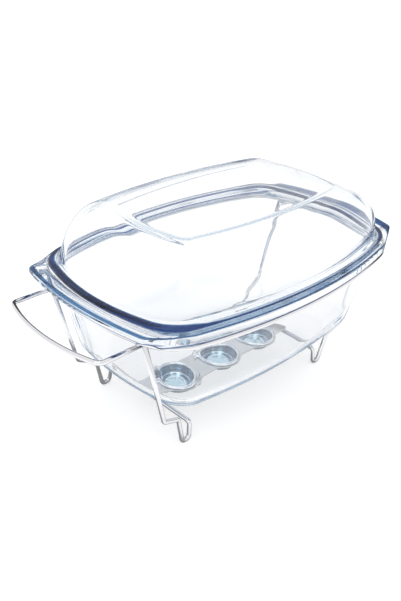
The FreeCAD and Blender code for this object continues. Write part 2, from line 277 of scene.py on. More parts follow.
flange_top_z = LID_LOW.z + FLANGE_T
print("flange %.1f mm thick and %.1f mm wide" % (1000 * FLANGE_T, 1000 * FLANGE_W))

# %% [markdown]
# ### Outlines of the lid
# One function gives the outline of the dome at any height. Its foot follows the
# flange and its top the flat panel, and the two curves say how far each level is
# drawn in. A shoulder takes a little more off the short ends near the top. On real
# glass it is the place where the dome bends over into the flat.

# %% Outlines of the lid
def dome_outline(inset, share, spread=0.0):
    """Outline of the dome at a share of its height, drawn in by inset."""
    end = (1 - share ** END_POWER) ** (1 / END_POWER)
    end -= SHOULDER * max((share - SHOULDER_FROM) / (1 - SHOULDER_FROM), 0) ** 3
    side = (1 - share ** SIDE_POWER) ** (1 / SIDE_POWER)
    foot_length = LID_HIGH.x - FLANGE_W - inset
    foot_width = LID_HIGH.y - FLANGE_W - inset
    return outline(
        TOP_HALF_LENGTH + (foot_length - TOP_HALF_LENGTH) * end + spread,
        TOP_HALF_WIDTH + (foot_width - TOP_HALF_WIDTH) * side + spread,
        LID_END_BULGE + (TOP_END_BULGE - LID_END_BULGE) * share,
        LID_SIDE_BULGE + (TOP_SIDE_BULGE - LID_SIDE_BULGE) * share,
        DOME_FOOT_CORNER_R + (TOP_CORNER_R - DOME_FOOT_CORNER_R) * share + spread)


def dome_loops(inset, foot_z, top_z, from_z):
    """Loops of the dome from a height up to its top, closer together near the top."""
    loops = []
    for step in range(DOME_LOOPS):
        share = math.sin(math.pi / 2 * step / DOME_LOOPS)
        z = foot_z + (top_z - foot_z) * share
        if z > from_z:
            loops.append(level(dome_outline(inset, share), z))
    return loops


def flange_outline(inset):
    return outline(LID_HIGH.x - inset, LID_HIGH.y - inset, LID_END_BULGE, LID_SIDE_BULGE,
                   LID_CORNER_R - inset)


def panel_outline(inset):
    return outline(PANEL_HALF_LENGTH - inset, PANEL_HALF_WIDTH - inset,
                   TOP_END_BULGE, TOP_SIDE_BULGE, PANEL_CORNER_R - inset)


foot = dome_outline(0, 0.0)
print("dome foot %.1f mm long and %.1f mm wide" % (2000 * foot[0].x,
                                                   2000 * max(p.y for p in foot)))

# %% [markdown]
# ### The lid's loops
# The inner wall comes first, from the middle down to the mouth. Then the loops turn
# out under the flange, round its soft edge and back to the foot of the dome. The
# outer wall goes up to the flat top, where a low panel is pressed out of the glass.

# %% Lid
def lid_loops():
    inner_top_z = DOME_TOP_Z - GLASS_T
    inner_foot_z = LID_LOW.z - INNER_FOOT_DROP
    outer_foot_z = LID_LOW.z + FLANGE_T / 2
    inner_top = dome_outline(GLASS_T, 1.0)
    outer_top = dome_outline(0, 1.0)
    foot_share = (flange_top_z - outer_foot_z) / (DOME_TOP_Z - outer_foot_z)
    inside = dome_loops(GLASS_T, inner_foot_z, inner_top_z, LID_LOW.z + MOUTH_FILLET)
    outside = dome_loops(0, outer_foot_z, DOME_TOP_Z, flange_top_z + FOOT_FILLET)
    loops = cap(inner_top, inner_top_z)[::-1]
    loops += [level(inner_top, inner_top_z)]
    loops += reversed(inside)
    shade_weight = {len(loops) + number: share for number, share in FLANGE_SHADE}
    loops += [
        level(dome_outline(GLASS_T, MOUTH_SHARE, MOUTH_SOFT), LID_LOW.z + MOUTH_SOFT),
        level(dome_outline(GLASS_T, MOUTH_SHARE, MOUTH_SOFT + MOUTH_FILLET), LID_LOW.z),
        level(flange_outline(2 * FLANGE_EDGE_R), LID_LOW.z),
        level(flange_outline(FLANGE_EDGE_R), LID_LOW.z),
        level(flange_outline(ROUND * FLANGE_EDGE_R), LID_LOW.z + ROUND * FLANGE_EDGE_R),
        level(flange_outline(0), LID_LOW.z + FLANGE_EDGE_R),
        level(flange_outline(0), flange_top_z - FLANGE_EDGE_R),
        level(flange_outline(ROUND * FLANGE_EDGE_R), flange_top_z - ROUND * FLANGE_EDGE_R),
        level(flange_outline(FLANGE_EDGE_R), flange_top_z),
        level(flange_outline(2 * FLANGE_EDGE_R), flange_top_z),
        level(dome_outline(0, foot_share, (1 + ROUND) * FOOT_FILLET), flange_top_z),
        level(dome_outline(0, foot_share, ROUND * FOOT_FILLET), flange_top_z + ROUND * FOOT_FILLET),
    ]
    loops += outside
    loops += [
        level(outer_top, DOME_TOP_Z),
        level(panel_outline(-PANEL_SLOPE_W), DOME_TOP_Z),
        level(panel_outline(0), LID_HIGH.z - 0.1 * PANEL_SOFT),
        level(panel_outline(PANEL_SOFT), LID_HIGH.z),
    ]
    loops += cap(panel_outline(0), LID_HIGH.z)
    return loops, shade_weight


loops, shade_weight = lid_loops()
lid = shell("lid_glass_dome", loops, shade_weight=shade_weight)

# %% [markdown]
# ## The dish
# The dish is one pressing too. Its basin tapers down to a flat base with a wide
# rounded edge. At the top it turns out into a thick rim, which stands on the wire
# ring, and at the two short ends the rim grows into grip ledges that rise outwards.
# The loops run from the middle of the floor, up inside, over the rim and down
# outside. A table gives the painted shade of the six loops of the rim's edge, from
# top to bottom: blue to navy on thick glass, in place of the light lost there.

# %% Dish sizes
BASIN_END_INSET = 0.011
BASIN_SIDE_INSET = 0.0054
BASIN_CORNER_R = 0.034
BASE_HALF_LENGTH = 0.1379
BASE_HALF_WIDTH = 0.0855
BASE_END_BULGE = 0.010
BASE_SIDE_BULGE = 0.012
BASE_EDGE_R = 0.018
BASE_T = 0.006
WALL_LEAN = math.radians(15)
BASE_BEND_STEPS = 6
WALL_STEPS = 7
RIM_EDGE_R = 0.0016
# Weights of the painted blue to navy shade on the rim's edge loops.
RIM_SHADE = ((0, 0.82), (1, 0.80), (2, 0.55), (3, 0.60), (4, 1.0), (5, 0.9))
SEAT_GAP = 0.0008
SEAT_SOFT = 0.0008
SEAT_INSET = 0.002
NECK_SPREAD = 0.0015
NECK_SOFT = 0.0003
NECK_DROP = 0.001

LEDGE_CORNER = Vector((0.1776, 0.075))
LEDGE_ROOT = Vector((0.138, 0.094))
LEDGE_MIDDLE_X = DISH_HIGH.x
LEDGE_RISE = DISH_HIGH.z - RIM_TOP_Z
LEDGE_RISE_FROM_X = 0.158
LEDGE_T = 0.0064
LEDGE_STEP_OUT = 0.004
LEDGE_STEP_SHARE = 0.995
LEDGE_BLEND = 0.004

ledge_r = bow_radius(LEDGE_CORNER.y, LEDGE_MIDDLE_X - LEDGE_CORNER.x)
print("ledge rises %.1f mm above the rim" % (1000 * LEDGE_RISE))

# %% [markdown]
# ### The basin
# Pressed glass has to leave its mould, so the wall leans outwards, and the edge of
# the base is a wide bend. Outer and inner face use the same functions: the inner
# one is drawn in by the thickness of the glass.

# %% Basin
def basin_outline(z, inset):
    """Outline of the basin's outer wall at height z, drawn in by inset."""
    share = (z - DISH_LOW.z) / (RIM_BOTTOM_Z - DISH_LOW.z)
    top_length = RIM_HALF_LENGTH - BASIN_END_INSET
    top_width = RIM_HALF_WIDTH - BASIN_SIDE_INSET
    return outline(
        BASE_HALF_LENGTH + (top_length - BASE_HALF_LENGTH) * share - inset,
        BASE_HALF_WIDTH + (top_width - BASE_HALF_WIDTH) * share - inset,
        BASE_END_BULGE + (RING_END_BULGE - BASE_END_BULGE) * share,
        BASE_SIDE_BULGE + (RING_SIDE_BULGE - BASE_SIDE_BULGE) * share,
        BASIN_CORNER_R - inset)


def basin_bend(floor_z, inset, radius):
    """Loops round the bottom edge of the basin, from the floor up to the wall."""
    loops = []
    full_turn = math.pi / 2 - WALL_LEAN
    touch = radius * math.tan(full_turn / 2)
    for step in range(BASE_BEND_STEPS + 1):
        turn = full_turn * step / BASE_BEND_STEPS
        drawn_in = inset + touch - radius * math.sin(turn)
        flat = basin_outline(floor_z, drawn_in)
        loops.append(level(flat, floor_z + radius * (1 - math.cos(turn))))
    return loops


def basin_wall(from_z, to_z, inset):
    """Loops up the straight part of the basin wall."""
    heights = [from_z + (to_z - from_z) * step / WALL_STEPS for step in range(1, WALL_STEPS)]
    return [level(basin_outline(z, inset), z) for z in heights]


print(len(basin_bend(DISH_LOW.z, 0, BASE_EDGE_R)), "loops round the edge of the base")

# %% [markdown]
# ### Rim and ledges
# The lid sits in a flat seat on the rim. Where a loop crosses a ledge, its points
# are pushed out to the ledge's own outline and lifted, so that the ledge needs no
# piece of its own. Under the ledge a step leaves room for the wire ring.

# %% Rim and ledges
def rim_outline(inset):
    return outline(RIM_HALF_LENGTH - inset, RIM_HALF_WIDTH - inset, RING_END_BULGE,
                   RING_SIDE_BULGE, RING_CORNER_R - inset)


def seat_outline(spread):
    return outline(LID_HIGH.x + spread, LID_HIGH.y + spread, LID_END_BULGE, LID_SIDE_BULGE,
                   LID_CORNER_R + spread)


def step_outline():
    """Inner edge of the thin part of the ledge, under the rim."""
    beyond_wire = outline(RING_HIGH.x - WIRE_R + LEDGE_STEP_OUT,
                          RING_HIGH.y - WIRE_R + LEDGE_STEP_OUT,
                          RING_END_BULGE, RING_SIDE_BULGE, RING_CORNER_R)
    within = rim_outline(RIM_EDGE_R)
    return [a if a.length < b.length else b for a, b in zip(beyond_wire, within)]


def ledge_reach(y):
    """X of the ledge's edge at a given Y, or 0 beyond the ledge."""
    y = abs(y)
    if y < LEDGE_CORNER.y:
        return LEDGE_MIDDLE_X - ledge_r + math.sqrt(ledge_r ** 2 - y ** 2)
    if y > LEDGE_ROOT.y:
        return 0
    share = (y - LEDGE_CORNER.y) / (LEDGE_ROOT.y - LEDGE_CORNER.y)
    return LEDGE_CORNER.x + (LEDGE_ROOT.x - LEDGE_CORNER.x) * share


def pushed_out(flat, inset):
    """Outline with its ends pushed out to the ledge's edge."""
    points = []
    for p in flat:
        reach = ledge_reach(p.y) - inset
        x = max(abs(p.x), reach) if reach > 0 else abs(p.x)
        points.append(Vector((math.copysign(x, p.x), p.y)))
    return points


def lift(p):
    """Height of the ledge's top above the rim at a point, 0 off the ledge."""
    inside = (ledge_reach(p.y) - abs(p.x)) / LEDGE_BLEND + 1
    share = min(max(inside, 0), 1)
    climb = (abs(p.x) - LEDGE_RISE_FROM_X) / (LEDGE_MIDDLE_X - LEDGE_RISE_FROM_X)
    return LEDGE_RISE * max(climb, 0) * share


def on_top(flat, below):
    """Loop on the top face of rim and ledge, or a little below it."""
    return [Vector((p.x, p.y, RIM_TOP_Z + lift(p) - below)) for p in flat]


def on_bottom(flat, above):
    """Loop on the lower face of rim and ledge, or a little above it."""
    points = []
    for p in flat:
        beyond = (abs(p.x) - abs(step_x(p))) / LEDGE_BLEND
        share = min(max(beyond, 0), 1)
        thin_z = RIM_TOP_Z + lift(p) - LEDGE_T
        z = RIM_BOTTOM_Z + (thin_z - RIM_BOTTOM_Z) * share
        points.append(Vector((p.x, p.y, z + above)))
    return points


def step_x(p):
    """X of the step under the ledge at a point's Y."""
    beyond_wire_r = bow_radius(RING_HIGH.y - WIRE_R + LEDGE_STEP_OUT - RING_SIDE_BULGE,
                               RING_END_BULGE)
    middle_x = RING_HIGH.x - WIRE_R + LEDGE_STEP_OUT
    return middle_x - beyond_wire_r + math.sqrt(beyond_wire_r ** 2 - p.y ** 2)


print("ledge corner reaches %.1f mm" % (1000 * ledge_reach(LEDGE_CORNER.y)))

# %% [markdown]
# ### The dish's loops
# Up inside, across the seat, round the rim's edge, back under it and down outside.

# %% Dish
def dish_loops():
    floor_z = DISH_LOW.z + BASE_T
    round_r = ROUND * RIM_EDGE_R
    inner_bend = basin_bend(floor_z, GLASS_T, BASE_EDGE_R - GLASS_T)
    outer_bend = basin_bend(DISH_LOW.z, 0, BASE_EDGE_R)
    loops = cap(inner_bend[0], floor_z)[::-1]
    loops += inner_bend
    loops += basin_wall(inner_bend[-1][0].z, RIM_TOP_Z, GLASS_T)
    loops += [
        level(basin_outline(RIM_TOP_Z, GLASS_T), RIM_TOP_Z - RIM_EDGE_R),
        level(basin_outline(RIM_TOP_Z, GLASS_T - round_r), RIM_TOP_Z - round_r),
        level(basin_outline(RIM_TOP_Z, GLASS_T - RIM_EDGE_R), RIM_TOP_Z),
        level(seat_outline(-SEAT_INSET), RIM_TOP_Z),
        level(seat_outline(SEAT_GAP), RIM_TOP_Z),
        on_top(seat_outline(SEAT_GAP + SEAT_SOFT), SEAT_SOFT / 2),
        on_top(seat_outline(SEAT_GAP + 2 * SEAT_SOFT), 0),
    ]
    edge = rim_outline(0)
    shade_weight = {len(loops) + number: share for number, share in RIM_SHADE}
    loops += [
        on_top(pushed_out(rim_outline(RIM_EDGE_R), RIM_EDGE_R), 0),
        on_top(pushed_out(rim_outline(round_r), round_r), round_r),
        on_top(pushed_out(edge, 0), RIM_EDGE_R),
        on_bottom(pushed_out(edge, 0), RIM_EDGE_R),
        on_bottom(pushed_out(rim_outline(round_r), round_r), round_r),
        on_bottom(pushed_out(rim_outline(RIM_EDGE_R), RIM_EDGE_R), 0),
    ]
    step = step_outline()
    loops += [
        on_bottom(step, 0),
        level([p * LEDGE_STEP_SHARE for p in step], RIM_BOTTOM_Z),
        level(basin_outline(RIM_BOTTOM_Z, -NECK_SPREAD), RIM_BOTTOM_Z),
        level(basin_outline(RIM_BOTTOM_Z, -NECK_SOFT), RIM_BOTTOM_Z - NECK_SOFT),
    ]
    loops += reversed(basin_wall(outer_bend[-1][0].z, RIM_BOTTOM_Z - NECK_DROP, 0))
    loops += reversed(outer_bend)
    loops += cap(outer_bend[0], DISH_LOW.z)
    return loops, shade_weight


loops, shade_weight = dish_loops()
dish = shell("dish_glass_basin", loops, shade_weight=shade_weight)

# %% [markdown]
# ## The candle cups
# A candle cup is a small steel pressing, spun from one thin disc: a flat floor, a
# steep wall and a lip rolled over at the top, which hangs in the hole of the strip.
# Round loops are enough for it. One cup is modelled, with a shallow ring stamped
# into its floor, and two more are copied from it, each with a mesh of its own.

# %% Cups
CUP_POINTS = 64
CUP_WALL = 0.0007
CUP_MOUTH_R = 0.0191
CUP_FLOOR_R = 0.0173
CUP_BEND_R = 0.002
CUP_LIP_H = 0.0024
CUP_CAP_R = 0.004
LIP_SOFT = 0.0002
STAMP_R = 0.0118
STAMP_SLOPE = 0.0006
STAMP_H = 0.0005

cup_lip_r = (CUP_HIGH.x - CUP_LOW.x) / 2


def round_loop(radius, z):
    turns = [2 * math.pi * step / CUP_POINTS for step in range(CUP_POINTS)]
    return [Vector((radius * math.cos(turn), radius * math.sin(turn), z)) for turn in turns]


def bend(x, z, radius, angles):
    """Points of a round bend in a section, at angles in degrees."""
    turns = [math.radians(angle) for angle in angles]
    return [(x + radius * math.cos(turn), z + radius * math.sin(turn)) for turn in turns]


def cup_loops():
    floor_z = CUP_LOW.z + CUP_WALL
    seat_z = CUP_HIGH.z - CUP_LIP_H
    lip_r = (cup_lip_r - CUP_MOUTH_R) / 2
    lip_z = CUP_HIGH.z - lip_r
    bend_x = CUP_FLOOR_R - CUP_BEND_R
    bend_z = floor_z + CUP_BEND_R
    outer_r = CUP_MOUTH_R + CUP_WALL
    section = [(CUP_CAP_R, floor_z),
               (STAMP_R - 2 * STAMP_SLOPE, floor_z),
               (STAMP_R - STAMP_SLOPE, floor_z + STAMP_H),
               (STAMP_R + STAMP_SLOPE, floor_z + STAMP_H),
               (STAMP_R + 2 * STAMP_SLOPE, floor_z)]
    section += bend(bend_x, bend_z, CUP_BEND_R, (-90, -60, -30, 0))
    section += [(CUP_FLOOR_R + (CUP_MOUTH_R - CUP_FLOOR_R) * share,
                 bend_z + (lip_z - bend_z) * share) for share in (0.35, 0.7)]
    section += bend(CUP_MOUTH_R + lip_r, lip_z, lip_r, (180, 150, 120, 90, 60, 30, 0))
    section += [(cup_lip_r, seat_z + LIP_SOFT / 2),
                (cup_lip_r - LIP_SOFT, seat_z),
                (cup_lip_r - 5 * LIP_SOFT, seat_z),
                (outer_r + 2 * LIP_SOFT, seat_z),
                (outer_r, seat_z - 2 * LIP_SOFT)]
    section += bend(bend_x, bend_z, CUP_BEND_R + CUP_WALL, (0, -30, -60, -90))
    section += [(STAMP_R + 2 * STAMP_SLOPE, CUP_LOW.z), (CUP_CAP_R, CUP_LOW.z)]
    return [round_loop(radius, z) for radius, z in section]


def copy_of(piece, name):
    """Copy of a piece, with a mesh of its own."""
    copy = piece.copy()
    copy.data = piece.data.copy()
    copy.name = copy.data.name = name
    bpy.context.collection.objects.link(copy)
    return copy


cups = {"middle": shell("cup_middle_spun", cup_loops())}
for side in ("left", "right"):
    low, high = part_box("tealight_cup_" + side)
    cups[side] = copy_of(cups["middle"], "cup_%s_spun" % side)
    for vert in cups[side].data.vertices:
        vert.co.x += (low.x + high.x) / 2

# %% [markdown]
# ## The wire frame
# The frame is drawn steel wire, bent cold and welded. A wire is a circle pushed
# along a path, so the circle is extruded from section to section. Each section
# stands square to the path, and is turned on from the one before it, so that the
# wire doesn't twist. Runs, bends and bows only differ in the path.

# %% Wire sections and bends
WIRE_POINTS = 20
BEND_STEPS = 8


def sections(path, closed):
    """Circles of the wire's radius, square to the path at each of its points."""
    loops = []
    for number, point in enumerate(path):
        before = path[number - 1] if closed or number else point
        after = path[(number + 1) % len(path)] if closed or number + 1 < len(path) else point
        along = (after - before).normalized()
        if number == 0:
            side = along.orthogonal().normalized()
        else:
            side = last_along.rotation_difference(along) @ side
        other = along.cross(side)
        turns = [2 * math.pi * step / WIRE_POINTS for step in range(WIRE_POINTS)]
        loops.append([point + (side * math.cos(turn) + other * math.sin(turn)) * WIRE_R
                      for turn in turns])
        last_along = along
    return loops


def bent(points, radii):
    """Path along straight runs with a round bend at each corner."""
    path = [points[0]]
    for before, corner, after, radius in zip(points, points[1:], points[2:], radii):
        back = (before - corner).normalized()
        ahead = (after - corner).normalized()
        half = back.angle(ahead) / 2
        centre = corner + (back + ahead).normalized() * radius / math.sin(half)
        first = corner + back * radius / math.tan(half) - centre
        last = corner + ahead * radius / math.tan(half) - centre
        whole = first.rotation_difference(last)
        shares = [step / BEND_STEPS for step in range(BEND_STEPS + 1)]
        path += [centre + Quaternion().slerp(whole, share) @ first for share in shares]
    return path + [points[-1]]


def mirrored_path(half, middle=()):
    """Path along one half, over its middle point, and back along its mirror image."""
    return half + list(middle) + [Vector((p.x, -p.y, p.z)) for p in reversed(half)]


print("wire drawn as a circle of", WIRE_POINTS, "points")

# %% [markdown]
# ## Ring, handles and end frames
# The ring follows the same outline as the rims. Each handle is one wire: an arm, a
# tight corner, a bowed grip, and the same again mirrored. Each end frame is also one
# wire: from its weld under the ring down a leg, a step, round a foot loop and across
# to the other foot. The feet are pressed flat where they stand.

# %% Ring, handles and end frames
RING_Z = RING_HIGH.z - WIRE_R
HANDLE_HALF_WIDTH = 0.0588
HANDLE_CORNER_X = 0.205
HANDLE_CORNER_R = 0.007
LEG_TOP_Y = 0.063
LEG_TOP_INSET = 0.0016
LEG_TOP_DROP = 0.0012
LEG_FOOT = Vector((0.135, 0.0621, 0.0417))
STEP_END = Vector((0.1146, 0.0596, 0.033))
FOOT_OUTER = Vector((0.1062, 0.0588, 0.002))
FOOT_INNER = Vector((0.0976, 0.0588, 0.002))
CROSSBAR_END = Vector((0.0965, 0.0572, 0.0194))
LEG_BENDS = (0.0055, 0.005, 0.0041, 0.0041, 0.0045)

ring_line = outline(RING_HIGH.x - WIRE_R, RING_HIGH.y - WIRE_R, RING_END_BULGE,
                    RING_SIDE_BULGE, RING_CORNER_R)


def ring_x(y):
    """X of the ring's middle line at a given Y, on its right end."""
    for near, far in zip(ring_line, ring_line[1:]):
        if near.y <= y <= far.y:
            return near.x + (far.x - near.x) * (y - near.y) / (far.y - near.y)


def handle_path():
    low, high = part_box("handle_right")
    middle_x = high.x - WIRE_R
    bow_r = bow_radius(HANDLE_HALF_WIDTH, middle_x - HANDLE_CORNER_X)
    bow_x = middle_x - bow_r
    turn_y = HANDLE_HALF_WIDTH - HANDLE_CORNER_R
    turn_x = bow_x + math.sqrt((bow_r - HANDLE_CORNER_R) ** 2 - turn_y ** 2)
    turn = math.atan2(turn_y, turn_x - bow_x)
    half = [Vector((low.x, HANDLE_HALF_WIDTH))]
    half += arc(Vector((turn_x, turn_y)), HANDLE_CORNER_R, math.pi / 2, turn, BEND_STEPS)
    half += arc(Vector((bow_x, 0)), bow_r, turn, 0, 2 * BEND_STEPS)
    half = level(half, (low.z + high.z) / 2)
    return mirrored_path(half, [Vector((middle_x, 0, half[0].z))])


def end_frame_path():
    leg_top = Vector((ring_x(LEG_TOP_Y) - LEG_TOP_INSET, LEG_TOP_Y, RING_Z - LEG_TOP_DROP))
    half = [leg_top, LEG_FOOT, STEP_END, FOOT_OUTER, FOOT_INNER, CROSSBAR_END]
    return bent(mirrored_path(half), LEG_BENDS + LEG_BENDS[::-1])


def wire(name, path, closed=False):
    piece = shell(name, sections(path, closed), levels=0, capped=not closed)
    for vert in piece.data.vertices:
        vert.co.z = max(vert.co.z, 0)
    return piece


def other_end(piece, name):
    """Copy of a piece turned half round to the other end of the object."""
    copy = copy_of(piece, name)
    for vert in copy.data.vertices:
        vert.co.xy = -vert.co.xy
    return copy


ring = wire("ring_wire", level(ring_line, RING_Z), closed=True)
handle_right = wire("handle_right_wire", handle_path())
handle_left = other_end(handle_right, "handle_left_wire")
legs_right = wire("end_frame_right_wire", end_frame_path())
legs_left = other_end(legs_right, "end_frame_left_wire")

# %% [markdown]
# ## Weld beads
# The ring is spot welded to the four arms of the handles and to the four leg tops.
# Each weld leaves a small uneven bead where the wires cross. A bead starts as a
# ball, is flattened and pulled out of true, and is then set down at eight places.

# %% Weld beads
BEAD_R = 0.0021
BEAD_STRETCH = (1.25, 1.0, 0.75)
BEAD_UNEVEN = 0.08
BEAD_WAVES = Vector((1900, 2300, 2700))
BEAD_PHASE = 1.1
ARM_BEAD_RISE = 0.0001
LEG_BEAD_RISE = 0.0006
LEG_BEAD_IN = 0.001

bpy.ops.object.select_all(action="DESELECT")
bpy.ops.mesh.primitive_ico_sphere_add(subdivisions=4, radius=BEAD_R)
first_bead = bpy.context.object
bpy.ops.object.mode_set(mode="EDIT")
bpy.ops.mesh.select_all(action="SELECT")
bpy.ops.transform.resize(value=BEAD_STRETCH)
bpy.ops.object.mode_set(mode="OBJECT")
for vert in first_bead.data.vertices:
    phase = vert.co * BEAD_WAVES
    wave = math.sin(phase.x + BEAD_PHASE) * math.cos(phase.y) + math.sin(phase.z)
    vert.co *= 1 + BEAD_UNEVEN * wave
bpy.ops.object.shade_smooth()


def set_down(bead, name, x, y, z):
    copy = copy_of(bead, name)
    for vert in copy.data.vertices:
        vert.co += Vector((x, y, z))
    return copy


beads = []
for side in (-1, 1):
    for across in (-1, 1):
        corner = "%s_%s" % ("left" if side < 0 else "right", "near" if across < 0 else "far")
        arm_x = ring_x(HANDLE_HALF_WIDTH) * side
        beads.append(set_down(first_bead, "weld_arm_" + corner, arm_x,
                              HANDLE_HALF_WIDTH * across, RING_Z - WIRE_R + ARM_BEAD_RISE))
        leg_x = (ring_x(LEG_TOP_Y) - LEG_TOP_INSET / 2) * side
        beads.append(set_down(first_bead, "weld_leg_" + corner, leg_x - LEG_BEAD_IN * side,
                              LEG_TOP_Y * across, RING_Z - WIRE_R + LEG_BEAD_RISE))
bpy.data.objects.remove(first_bead)
print(len(beads), "weld beads")

# %% [markdown]
# ## Materials as sums
# A material is a small graph of nodes. Wrapping a socket in a class lets Python's
# own operators add the Math nodes, so that a mask reads as a sum. Every other kind
# of node comes from one method, which sets the node up first and then links it.

# %% Signal and Finish
class Signal:
    """One output of a node, for use in sums."""

    def __init__(self, finish, socket):
        self.finish = finish
        self.socket = socket

    def __add__(self, other):
        return self.finish.maths("ADD", self, other)

    def __rsub__(self, other):
        return self.finish.maths("SUBTRACT", other, self)

    def __mul__(self, other):
        return self.finish.maths("MULTIPLY", self, other)


class Finish:
    """Material or world whose nodes are added one by one."""

    def __init__(self, holder):
        holder.use_nodes = True
        self.tree = holder.node_tree
        self.tree.nodes.clear()

    def node(self, kind, settings, *values, out=0, **named):
        """Add a node, set it up, then give its sockets values or links."""
        node = self.tree.nodes.new(kind)
        for name, value in settings.items():
            setattr(node, name, value)
        pairs = list(enumerate(values))
        pairs += [(name.replace("_", " "), value) for name, value in named.items()]
        for key, value in pairs:
            if isinstance(value, Signal):
                self.tree.links.new(value.socket, node.inputs[key])
            elif value is not None:
                node.inputs[key].default_value = value
        return Signal(self, node.outputs[out]) if len(node.outputs) else node

    def maths(self, operation, *values):
        return self.node("ShaderNodeMath", {"operation": operation}, *values)

    def place(self):
        """Position on the piece, in metres."""
        return self.node("ShaderNodeTexCoord", {}, out="Object")

    def noise(self, place, scale, detail):
        return self.node("ShaderNodeTexNoise", {}, Vector=place, Scale=scale, Detail=detail)

    def axis(self, place, letter):
        """One coordinate of a position or a direction."""
        return self.node("ShaderNodeSeparateXYZ", {}, place, out=letter)

    def vector(self, operation, *values, out=0):
        return self.node("ShaderNodeVectorMath", {"operation": operation}, *values, out=out)

    def between(self, value, low, high, to_low=0.0, to_high=1.0):
        """Value carried from one range to another and held at its ends."""
        return self.node("ShaderNodeMapRange", {"interpolation_type": "SMOOTHSTEP"},
                         value, low, high, to_low, to_high)

    def mixed(self, factor, first, second):
        """Mix of two colours."""
        mix = {"data_type": "RGBA"}
        nothing = [None] * 5
        return self.node("ShaderNodeMix", mix, factor, *nothing, first, second, out=2)

    def surface(self, shader, volume=None):
        outputs = {"Surface": shader}
        if volume is not None:
            outputs["Volume"] = volume
        self.node("ShaderNodeOutputMaterial", {}, **outputs)


def material(name, view_colour):
    made = bpy.data.materials.new(name)
    made.diffuse_color = view_colour
    return made, Finish(made)


print("helpers:", Signal.__name__, "and", Finish.__name__)


# %% [markdown]
# ## Glass
# Clear pressed glass takes almost nothing from light that crosses a thin wall.
# Along a thick edge the way through it is long, and the glass turns blue and then
# navy. Absorption in the volume does a part of that. The rest is painted shade: blue
# to navy in the colour of the glass, which reads the weights that the loops of flange
# and rim carry and stands in for the light lost there. It goes from clear over blue
# to navy in two even steps.
#
# The real glass shows a broad blue band at the ends and a narrow one along the
# sides. So the weight at which the painted shade begins is higher along the sides:
# by a lot on the lid, and by a little on the dish. It is the same on opposite sides.
# A slow ripple in the surface stands in for the marks of pressing.

# %% Glass finish
CLEAR = (0.985, 0.992, 1.0, 1.0)
SHADE_BLUE = (0.006, 0.06, 0.22, 1.0)
SHADE_NAVY = (0.0002, 0.0028, 0.038, 1.0)
VIEW_COLOUR = (0.8, 0.87, 0.95, 0.4)
TAKEN_COLOUR = (0.0, 0.35, 0.62, 1.0)
GLASS_IOR = 1.47
RIPPLE_SCALE = 18.0
SHADE_STEP = 0.10
ENDS_FROM_X = 0.10
ENDS_TO_X = 0.15


def glass(name, density, from_sides, from_ends):
    """Clear glass with painted blue to navy shade on thick edges, which begins at one weight on the
    sides and another at the ends.
    """
    made, finish = material(name, VIEW_COLOUR)
    place = finish.place()
    ripple = finish.noise(place, RIPPLE_SCALE, 1.0)
    bump = finish.node("ShaderNodeBump", {}, Strength=0.05, Distance=0.001, Height=ripple)
    shade_weight = finish.node("ShaderNodeAttribute", {"attribute_name": SHADE_WEIGHT}, out="Fac")
    along = finish.axis(finish.vector("ABSOLUTE", place), "X")
    least = finish.between(along, ENDS_FROM_X, ENDS_TO_X, from_sides, from_ends)
    halfway = least + SHADE_STEP
    # Painted shade: thick loops turn blue and then navy, in place of light lost on the long way
    # through.
    edge_shade = finish.mixed(finish.between(shade_weight, least, halfway), CLEAR, SHADE_BLUE)
    edge_shade = finish.mixed(finish.between(shade_weight, halfway, halfway + SHADE_STEP), edge_shade, SHADE_NAVY)
    shader = finish.node("ShaderNodeBsdfPrincipled", {}, Base_Color=edge_shade, Roughness=0.0,
                         IOR=GLASS_IOR, Transmission_Weight=1.0, Normal=bump)
    taken = finish.node("ShaderNodeVolumeAbsorption", {}, Color=TAKEN_COLOUR,
                        Density=density)
    finish.surface(shader, taken)
    return made


lid_finish = glass("lid_glass", 2.0, 0.78, 0.05)
dish_finish = glass("dish_glass", 1.5, 0.70, 0.66)
print("glass finishes:", lid_finish.name, dish_finish.name)

# %% [markdown]
# ## Chrome and steel
# The wires are bright drawn steel with a chromed skin: almost a mirror, with a
# little more haze here and there, and a fine grain. The strip is plated sheet with
# a satin face, so half of its light is scattered as a matte surface does.
#
# The cups are spun steel. Most of their colour is painted reflection: a dark blue
# wall in place of what the steel mirrors inside the cup, a paler floor in place of
# the bright glass it mirrors above, and soft pale painted highlights that run
# outwards from the middle of each one. The lip keeps the bare steel's own colour.
# The highlights are noise over the direction from the cup's middle. Each cup finds
# that middle by wrapping X over the distance from one cup to the next.

# %% Metal finishes
LIP_FROM_Z = CUP_HIGH.z - 0.0020
LIP_TO_Z = CUP_HIGH.z - 0.0012
LIP_TONE = (0.90, 0.91, 0.93, 1.0)
PAINTED_HIGHLIGHT_TONE = (0.82, 0.93, 0.97, 1.0)
HIGHLIGHT_SCALE = 2.6
HIGHLIGHT_FROM = 0.46
HIGHLIGHT_TO = 0.66
CUP_FLOOR_REFLECTION = (0.50, 0.70, 0.80, 1.0)
CUP_FLOOR_FROM_Z = CUP_LOW.z + 0.0012
CUP_FLOOR_TO_Z = CUP_LOW.z + 0.0030
CUP_PITCH = cups["right"].data.vertices[0].co.x - cups["middle"].data.vertices[0].co.x
HAZE_SCALE = 60.0
HAZE_FROM = 0.35
HAZE_TO = 0.7
HAZE_DULLS = 0.93
GRAIN_SCALE = 900.0


